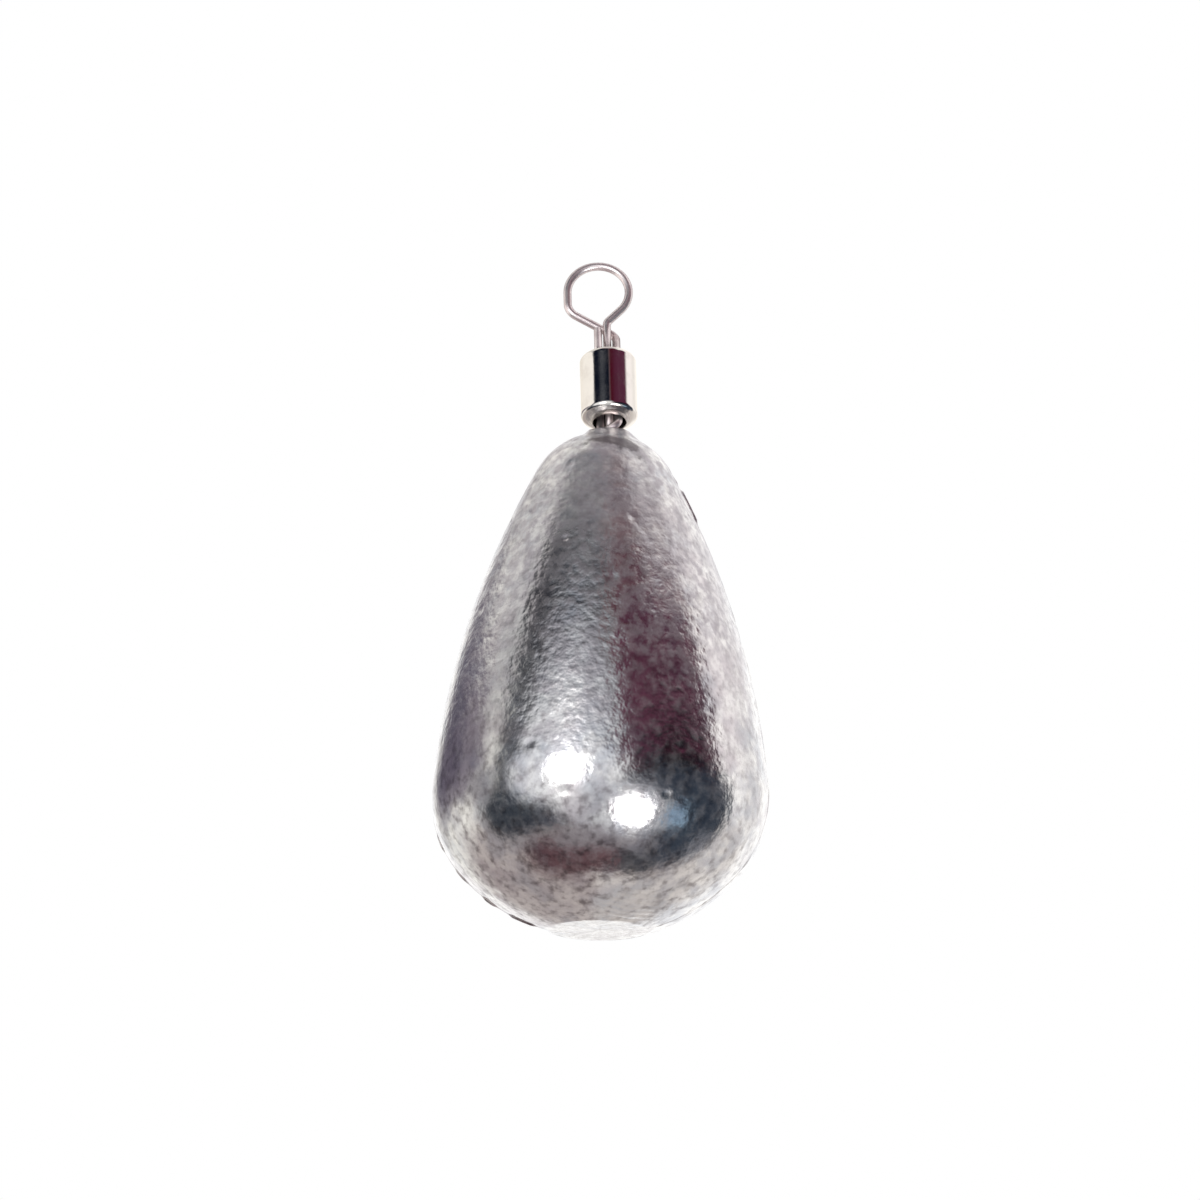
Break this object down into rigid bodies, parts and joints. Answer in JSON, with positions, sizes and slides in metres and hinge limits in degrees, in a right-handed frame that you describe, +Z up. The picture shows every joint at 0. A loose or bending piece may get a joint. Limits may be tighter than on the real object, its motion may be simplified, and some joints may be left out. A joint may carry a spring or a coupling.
{
  "type": "fishing sinker",
  "caption": "Pear-shaped cast lead fishing sinker with a barrel swivel and wire eye in its crown, standing on a small flat base.",
  "frame": {"origin": "middle of the flat base where the casting gate was cut off, on the surface the sinker stands on", "axes": "+Z up the body's axis towards the swivel; -Y towards the front, from which both wire eyes show their round; +X to the right as seen from the front"},
  "size_m": [0.0222, 0.022, 0.0454],
  "materials": {
    "cast_lead": "satin",
    "nickel_wire": "polished",
    "nickel_barrel": "polished"
  },
  "bodies": {
    "sinker": {"sinker_body": "cast_lead", "anchor_eye": "nickel_wire"},
    "barrel": {"swivel_barrel": "nickel_barrel"},
    "upper_eye": {"line_eye": "nickel_wire"}
  },
  "joints": [
    {"name": "barrel_spin", "type": "hinge", "parent": "sinker", "child": "barrel", "pos_m": [0.00026, 0.00082, 0.03618], "axis": [-0.0331, 0.3173, 0.9477], "continuous": true},
    {"name": "eye_spin", "type": "hinge", "parent": "barrel", "child": "upper_eye", "pos_m": [0.00018, 0.00165, 0.03865], "axis": [-0.0331, 0.3173, 0.9477], "continuous": true}
  ]
}
